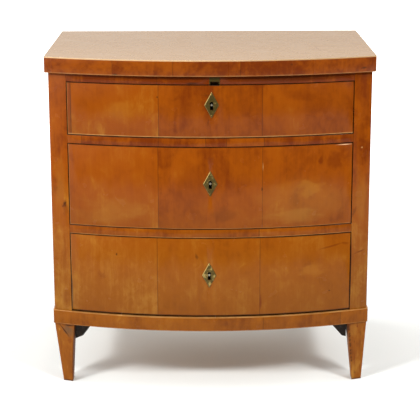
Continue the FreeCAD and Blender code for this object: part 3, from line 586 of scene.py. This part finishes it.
def finish_top():
    """The top's faded surface, its edge, and the arris between them, worn pale and painted with a
    highlight that is strongest at the left.
    """
    material, g = new_material("top_veneer")
    letters, across, along, depth = grain_letters(g, "yx")
    x, y, z = letters["x"], letters["y"], letters["z"]
    board, relief = top_surface(g, letters, across, along, depth)
    edge, edge_relief = slab_edge(g, letters, depth)
    upper = g.smooth(z, slab_high.z - 2.8 * MM, slab_high.z - 2.2 * MM)
    colour = g.mix(upper, edge, board)
    bow = g.math("SUBTRACT", slab_radius, radius_about_bow(g, x, y))
    arris = g.times(g.smooth(bow, 3.2 * MM, 2.2 * MM),
                    g.smooth(z, slab_high.z - 3.0 * MM, slab_high.z - 2.4 * MM))
    # the arris is pale from wear, and its painted highlight is strongest at the left
    paler = g.math("MULTIPLY_ADD", g.smooth(x, 0.30, -0.1), 0.35, 0.25)
    colour = g.mix(g.times(arris, paler), colour, ARRIS)
    cloud = g.noise(g.join(x, y, 3.0), 20.0, 3.0)
    rough = g.plus(g.about(cloud, 0.10), 0.27)
    bumps = g.plus(g.times(upper, g.math("SUBTRACT", relief, edge_relief)), edge_relief)
    g.finish(colour, rough, g.bump(bumps, 0.001 * MM), ior=WAXED_IOR)
    soften(dress("top_board", material), 2.6 * MM, 4)


def finish_sides():
    """At each side: the stile in front, the side panel and the plinth below it."""
    for word, tone in (("left", 0.53), ("right", 0.46)):
        side = SIDES[word]
        # dirt and painted shade along the gap beside the drawers
        inner_edge = Band("x", opening_half * side, 0.5 * MM, GRIME_AND_SHADE, 0.9, 0.1)
        stile = veneer(f"stile_veneer_{word}", "xz", 4.0 + tone, tones=(tone,), falls=0.75,
                       contrast=1.2, marks=STILE_MARKS[side], bands=(inner_edge,))
        soften(dress(f"front_stile_{word}", stile), 0.7 * MM)
        panel = veneer(f"side_veneer_{word}", "yz", 9.0 + tone, faced=on_outside, falls=0.2)
        soften(dress(f"side_panel_{word}", panel), 0.6 * MM)
        plinth = veneer(f"plinth_veneer_{word}", "yx", 21.0 + tone, tones=(0.55,))
        soften(dress(f"plinth_{word}", plinth), 1.0 * MM)


def finish_rails():
    """The rails over the drawers, made of many short leaves, and the plinth's front."""
    for number, (node, look) in enumerate(RAIL_LOOKS.items()):
        rail = veneer(f"{node}_veneer", "xz", 30.0 + number, faced=on_bow, **look)
        soften(dress(node, rail), 0.5 * MM)
    worn_edges = (Band("z", plinth_high.z, 2.4 * MM, WORN_AND_HIGHLIGHT, 0.7, 0.4),
                  Band("z", plinth_low.z, 2.4 * MM, WORN_AND_HIGHLIGHT, 0.35, 0.5))
    plinth = veneer("plinth_veneer_front", "xz", 36.0, joints=(0.129, 0.323),
                    tones=(0.38, 0.24, 0.32), contrast=1.2, bands=worn_edges)
    soften(dress("plinth_front", plinth), 1.5 * MM, 3)


def leg_material(word, end):
    """Grain that runs down the leg, which is worn and scuffed, and stained dark at its foot."""
    side = SIDES[word]
    rubbed = 1.5 if side == RIGHT else 1.1
    material, g = new_material(f"leg_veneer_{end}_{word}")
    x, y, z = g.split(own_place(g))
    across = g.plus(x, y)
    colour, relief = veneer_figure(g, across, z, g.math("SUBTRACT", x, y), 0.40 + 0.04 * side,
                                   14.0 + side, rubbed * 1.2, height_ramp(g, z))
    scuffs = g.noise(g.join(across, g.times(z, 0.12), 4.0), 150.0, 3.0, 0.6)
    colour = g.mix(g.times(g.smooth(scuffs, 0.58, 0.75), 0.20 * rubbed), colour, WORN_AND_HIGHLIGHT)
    colour = g.mix(g.times(g.smooth(scuffs, 0.44, 0.30), 0.45 * rubbed), colour, RUSSET)
    colour = g.mix(g.times(g.smooth(z, 5 * MM, 1.5 * MM), 0.7), colour, GRIME_AND_SHADE)
    if end == "front":
        for mark in LEG_MARKS[side]:
            colour = mark.paint(g, x, z, colour)
    rough = g.plus(g.about(scuffs, 0.3), 0.42)
    g.finish(colour, rough, g.bump(g.plus(relief, scuffs), 0.15 * MM))
    return material


def finish_legs():
    for word in SIDES:
        for end in ("front", "back"):
            soften(dress(f"leg_{end}_{word}", leg_material(word, end)), 1.0 * MM)


def drawer_edges(drawer):
    """Bands along the edges of a drawer's front: dirt and painted shade at its upper and right edges,
    wear and a painted highlight at its left edge, and at its lower edge what LOWER_EDGES gives.
    """
    low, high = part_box(f"{drawer}_drawer_front")
    return (Band("z", high.z, 1.6 * MM, GRIME_AND_SHADE, 0.55), Band("x", low.x, 1.6 * MM, WORN_AND_HIGHLIGHT, 0.5),
            Band("x", high.x, 1.4 * MM, GRIME_AND_SHADE, 0.5), Band("z", low.z, *LOWER_EDGES[drawer]))


def finish_drawers():
    """Veneered fronts, and pine behind them: the sides with their dovetails, back and bottom."""
    for number, drawer in enumerate(DRAWERS):
        front = veneer(f"{drawer}_front_veneer", "xz", 50.0 + number * 5, faced=on_bow, falls=0.45,
                       bands=drawer_edges(drawer), **DRAWER_LOOKS[drawer])
        soften(dress(f"{drawer}_drawer_front", front), 0.5 * MM)
        for word in SIDES:
            node = f"{drawer}_drawer_side_{word}"
            low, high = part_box(node)
            outside = max(-low.x, high.x)
            side = bare_pine(f"{drawer}_side_pine_{word}", "zy", 70.0 + number,
                             (low.y, high.y, outside))
            soften(dress(node, side), 0.6 * MM)
        back = bare_pine(f"{drawer}_back_pine", "zx", 75.0 + number)
        soften(dress(f"{drawer}_drawer_back", back), 0.6 * MM)
        dress(f"{drawer}_drawer_bottom", bare_pine(f"{drawer}_bottom_pine", "yx", 80.0 + number))


def finish_inside():
    """Bare pine: the boards at the back and bottom, and what the drawers run on and stop at."""
    for number, node in enumerate(("back_board_lower", "back_board_upper", "plinth_back")):
        soften(dress(node, bare_pine(f"{node}_pine", "zx", 90.0 + number)), 0.8 * MM)
    dress("bottom_board", bare_pine("bottom_board_pine", "yx", 96.0))
    for node in nodes:
        if node.startswith(("runner_", "guide_", "kicker_")):
            dress(node, bare_pine(f"{node}_pine", "xy", 100.0))
    dress("drawer_stops", bare_pine("stops_pine", "yx", 110.0))


def finish_blocks():
    """The rough dark blocks that hold the legs to the plinth."""
    material, g = new_material("block_wood")
    rough = g.noise(own_place(g), 90.0, 4.0, 0.6)
    colour = g.mix(g.smooth(rough, 0.5, 0.75), BLOCK, BLOCK_WORN)
    g.finish(colour, 0.75, g.bump(rough, 0.5 * MM), ior=ROUGH_WOOD_IOR)
    for node in ("corner_block_left", "corner_block_right", "back_corner_blocks"):
        soften(dress(node, material), 0.8 * MM)


def brass_material(name, rubbed):
    """Old brass gone green and brown, rubbed bright in worn patches, with a painted highlight on the
    bevels that face up and to the left.
    """
    material, g = new_material(name)
    place = own_place(g)
    patch = g.noise(place, 120.0, 4.0, 0.65)
    fine = g.noise(place, 900.0, 3.0, 0.6)
    green = g.mix(g.smooth(fine, 0.35, 0.65), VERDIGRIS, TARNISH)
    # a painted highlight on the bevels that face up and to the left, joined with the worn patches in
    # bright
    sideways, facing, upright = g.split(g.add("NewGeometry").outputs["Normal"])
    bevel = g.smooth(g.math("ABSOLUTE", facing), 0.95, 0.80)
    leaning = g.plus(g.times(upright, 0.48), g.times(sideways, -0.88))
    painted_highlight = g.math("MULTIPLY_ADD", g.smooth(leaning, 0.25, 0.65), 0.85, 0.10)
    worn = g.smooth(patch, 0.68 - 0.18 * rubbed, 0.84 - 0.18 * rubbed)
    worn = g.math("MULTIPLY_ADD", worn, 0.85 * rubbed, 0.06 * rubbed)
    bright = g.math("MAXIMUM", worn, g.times(bevel, painted_highlight))
    rough = g.plus(g.about(fine, 0.2), 0.38)
    g.finish(g.mix(bright, green, BRASS), rough, g.bump(fine, 0.08 * MM),
             metallic=g.math("MAXIMUM", bright, 0.25), ior=BRASS_IOR)
    return material


IRON_METALLIC = 0.6
DRILL_PIN_RADIUS = 3.4 * MM     # the worn end of the pin, with a little around it


def rusty_iron(g, place):
    """Colour and bumps of filed iron with patches of rust."""
    patch = g.noise(place, 60.0, 4.0, 0.6)
    return g.mix(g.smooth(patch, 0.5, 0.7), IRON, RUST), g.bump(patch, 0.1 * MM)


def lock_iron(drawer):
    """Rusty iron whose fixed pin, seen through the keyhole, is worn bright by keys."""
    material, g = new_material(f"{drawer}_lock_iron")
    place = own_place(g)
    x, _, z = g.split(place)
    low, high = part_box(f"{drawer}_escutcheon")
    middle = (low + high) / 2
    across = g.math("SUBTRACT", x, middle.x)
    up = g.math("SUBTRACT", z, middle.z)
    radius = g.math("SQRT", g.plus(g.times(across, across), g.times(up, up)))
    pin = g.smooth(radius, DRILL_PIN_RADIUS, 2.8 * MM)
    rusty, bumps = rusty_iron(g, place)
    metallic = g.math("MULTIPLY_ADD", pin, 1.0 - IRON_METALLIC, IRON_METALLIC)
    g.finish(g.mix(pin, rusty, PIN), 0.45, bumps, metallic=metallic, ior=PLAIN_IOR)
    return material


SCREW_RADIUS = 3.4 * MM
SCREW_PROUD = 0.9 * MM
SCREW_INSET = 6 * MM            # from the lock's sides and lower end
SCREW_INSET_ABOVE = 12 * MM     # from its upper end, where the bolt comes out
NAIL_RADIUS = 2.2 * MM
NAIL_PROUD = 0.5 * MM
NAIL_INSET = 6 * MM             # from the bottom's back end
NAIL_END = 30 * MM              # from the bottom's sides
NAILS = 7


def fasteners(name, heads, axis, radius, proud, body, material):
    """Low round heads that stand on a face, one piece for each group."""
    shape = bmesh.new()
    turn = Vector((0, 0, 1)).rotation_difference(Vector(axis)).to_matrix().to_4x4()
    for head in heads:
        place = Matrix.Translation(Vector(head) + Vector(axis) * proud / 2) @ turn
        bmesh.ops.create_cone(shape, cap_ends=True, segments=20, radius1=radius, radius2=radius * 0.7,
                              depth=proud, matrix=place)
    mesh = bpy.data.meshes.new(name)
    shape.to_mesh(mesh)
    shape.free()
    mesh.materials.append(material)
    piece = bpy.data.objects.new(name, mesh)
    bpy.context.scene.collection.objects.link(piece)
    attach(piece, body)


def add_fasteners(iron, steel):
    """Screws hold each lock, and nails hold each drawer's bottom to its back."""
    for drawer in DRAWERS:
        body = f"{drawer}_drawer"
        low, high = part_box(f"{drawer}_lock_case")
        screws = [(x, high.y, z) for x in (low.x + SCREW_INSET, high.x - SCREW_INSET)
                  for z in (low.z + SCREW_INSET, high.z - SCREW_INSET_ABOVE)]
        fasteners(f"{drawer}_lock_screws", screws, (0, 1, 0), SCREW_RADIUS, SCREW_PROUD, body,
                  steel)
        low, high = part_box(f"{drawer}_drawer_bottom")
        step = (high.x - low.x - 2 * NAIL_END) / (NAILS - 1)
        nails = [(low.x + NAIL_END + step * number, high.y - NAIL_INSET, low.z)
                 for number in range(NAILS)]
        fasteners(f"{drawer}_bottom_nails", nails, (0, 0, -1), NAIL_RADIUS, NAIL_PROUD, body,
                  iron)


def finish_metal():
    """Escutcheons with their pins, the strike plate, the locks, and all screws and nails."""
    for drawer, rubbed in zip(DRAWERS, (0.45, 0.7, 1.0)):
        brass = brass_material(f"{drawer}_old_brass", rubbed)
        soften(dress(f"{drawer}_escutcheon", brass), 0.2 * MM)
        dress(f"{drawer}_escutcheon_pins", brass)
    soften(dress("strike_plate", brass_material("strike_old_brass", 0.2)), 0.3 * MM)

    iron, g = new_material("filed_iron")
    rusty, bumps = rusty_iron(g, own_place(g))
    g.finish(rusty, 0.55, bumps, metallic=IRON_METALLIC, ior=PLAIN_IOR)
    dress("back_nails", iron)
    steel, g = new_material("worn_steel")
    x, y, z = g.split(own_place(g))
    grain = g.noise(g.join(x, y, g.times(z, 0.05)), 2500.0)
    g.finish(g.mix(grain, STEEL, IRON), 0.35, g.bump(grain, 0.03 * MM), metallic=1.0,
             ior=PLAIN_IOR)
    for drawer in DRAWERS:
        dress(f"{drawer}_lock_case", lock_iron(drawer))
        dress(f"{drawer}_lock_bolt", steel)
    add_fasteners(iron, steel)


# ---------------------------------------------------------------- the studio

FLOOR_HALF = 14.0
PAPER_END = 2.1         # in front of the chest the white paper stops here, and reflections go dark
PAPER_BLEND = 0.3       # half of the distance over which it stops
PAPER = (0.84, 0.865, 0.845)
PAPER_TO_SOFT = (0.66, 0.66, 0.66)      # how pale the paper is to the light that it throws back
PAPER_TO_GLOSSY = (0.60, 0.60, 0.60)    # and in reflections
DARK_FLOOR = (0.05, 0.05, 0.05)
# the lamps' places follow from the edges of the floor shadow, and their powers are in watts
LAMPS = (("key_left", (-4.1, -3.6, 4.4), 275.0), ("key_right", (3.6, -3.8, 4.6), 255.0))
LAMP_SIZE = (1.3, 1.0)
LAMP_AIM = (0.0, 0.0, 0.45)


def studio_light(name, place, power):
    data = bpy.data.lights.new(name, "AREA")
    data.shape = "RECTANGLE"
    data.size, data.size_y = LAMP_SIZE
    data.energy = power
    light = bpy.data.objects.new(name, data)
    light.location = place
    aim = Vector(LAMP_AIM) - Vector(place)
    light.rotation_euler = aim.to_track_quat("-Z", "Y").to_euler()
    bpy.context.scene.collection.objects.link(light)


def ray_kinds(g):
    """1 for the rays that may see the white background, for glossy rays and for diffuse rays."""
    path = g.add("LightPath").outputs
    shown = g.math("MAXIMUM", path["Is Camera Ray"], path["Is Transmission Ray"])
    glossy = path["Is Glossy Ray"]
    rest = g.math("SUBTRACT", 1.0, g.math("MAXIMUM", shown, glossy))
    return shown, glossy, rest


def mirrored_world(g, across, behind, z):
    """How bright the surround is in reflections: white behind and at the left, dim at the right."""
    left = g.smooth(across, -0.35, -0.9)
    right = g.smooth(across, 0.35, 0.9)
    overhead = g.smooth(z, 0.75, 0.95)
    falls_off = g.math("SUBTRACT", 1.0, g.times(g.smooth(across, -0.10, 0.10), 0.12))
    mirror = g.math("MAXIMUM", g.times(behind, falls_off, 0.98),
                    g.times(g.math("MAXIMUM", left, overhead), 1.2))
    return g.times(g.plus(0.06, mirror), g.math("SUBTRACT", 1.0, g.times(right, 0.85)))


def soft_world(g, across, behind, z):
    """How brightly the surround lights the chest: from low behind it and from both sides."""
    low = g.smooth(z, 0.80, 0.50)
    high = g.math("SUBTRACT", 1.0, low)
    far_left = g.smooth(across, -0.60, -0.95)
    far_right = g.smooth(across, 0.60, 0.95)
    return g.plus(0.12, g.times(behind, low, 1.8), g.times(far_left, 1.6),
                  g.times(far_right, high, 1.8))


def make_world():
    """A plain white surround to the eye, and softer light from chosen sides for the rest."""
    world = bpy.data.worlds.new("studio")
    bpy.context.scene.world = world
    world.use_nodes = True
    g = Graph(world.node_tree)
    x, y, z = g.split(g.add("TexCoord").outputs["Generated"])
    shown, glossy, rest = ray_kinds(g)
    flat = g.math("SQRT", g.plus(g.times(x, x), g.times(y, y), 0.0001))
    across = g.math("DIVIDE", x, flat)
    behind = g.smooth(g.math("DIVIDE", y, flat), 0.1, 0.6)
    strength = g.plus(shown, g.times(glossy, mirrored_world(g, across, behind, z)),
                      g.times(rest, soft_world(g, across, behind, z)))
    background = g.add("Background", {"Color": WHITE, "Strength": strength})
    g.add("OutputWorld", {"Surface": background.outputs[0]})


def paper_material():
    """White paper that keeps the chest's shadow, glows towards its edges to meet the surround, and
    glows a little to both sides of the chest as painted light.
    """
    material, g = new_material("paper")
    x, y, _ = g.split(own_place(g))
    shown, glossy, rest = ray_kinds(g)
    distance = g.math("SQRT", g.plus(g.times(x, x), g.times(y, y)))
    far = g.smooth(distance, 1.2, 3.0)
    paper = g.smooth(y, -PAPER_END - PAPER_BLEND, -PAPER_END + PAPER_BLEND)
    beyond = g.times(g.math("SUBTRACT", 1.0, shown), g.math("SUBTRACT", 1.0, paper))
    # painted light: the paper glows a little more to both sides of the chest, which lightens the
    # shadows cast there
    beside = g.plus(g.times(g.smooth(x, -0.37, -0.47), 0.07), g.times(g.smooth(x, 0.38, 0.60), 0.04))
    glow = g.plus(g.times(shown, g.plus(0.02, beside, g.times(far, 0.9))),
                  g.times(glossy, paper, far, 0.2))
    colour = g.mix(beyond, PAPER, DARK_FLOOR)
    colour = g.mix(g.times(rest, paper), colour, PAPER_TO_SOFT)
    colour = g.mix(g.times(glossy, paper), colour, PAPER_TO_GLOSSY)
    diffuse = g.add("BsdfDiffuse", {"Color": colour})
    emission = g.add("Emission", {"Color": WHITE, "Strength": glow})
    both = g.add("AddShader", {0: diffuse.outputs[0], 1: emission.outputs[0]})
    g.add("OutputMaterial", {"Surface": both.outputs[0]})
    return material


def make_floor():
    mesh = bpy.data.meshes.new("floor")
    corners = ((-1, -1), (1, -1), (1, 1), (-1, 1))
    mesh.from_pydata([(x * FLOOR_HALF, y * FLOOR_HALF, 0.0) for x, y in corners], [], [(0, 1, 2, 3)])
    mesh.materials.append(paper_material())
    floor = bpy.data.objects.new("floor", mesh)
    bpy.context.scene.collection.objects.link(floor)


# the camera, as fitted to the photograph's corners and edges
SENSOR = 36.0           # millimetres, as the lens is
LENS = 118.76
SHIFT = -0.0714         # a share of the sensor's width
CAMERA_PLACE = (-0.0224, -3.4977, 1.3178)
PITCH, YAW, ROLL = 0.2373, 0.0064, -0.0020      # radians; pitch looks down, yaw to the right


def make_camera():
    data = bpy.data.cameras.new("camera")
    data.sensor_width = SENSOR
    data.lens = LENS
    data.shift_y = SHIFT
    camera = bpy.data.objects.new("camera", data)
    camera.location = CAMERA_PLACE
    turn = Matrix.Rotation(-YAW, 3, "Z") @ Matrix.Rotation(math.pi / 2 - PITCH, 3, "X")
    camera.rotation_euler = (turn @ Matrix.Rotation(ROLL, 3, "Z")).to_euler()
    bpy.context.scene.collection.objects.link(camera)
    bpy.context.scene.camera = camera


def make_studio():
    make_world()
    make_floor()
    for lamp in LAMPS:
        studio_light(*lamp)
    make_camera()


finish_top()
finish_sides()
finish_rails()
finish_legs()
finish_drawers()
finish_inside()
finish_blocks()
finish_metal()
make_studio()
bpy.context.scene.view_settings.view_transform = "Standard"
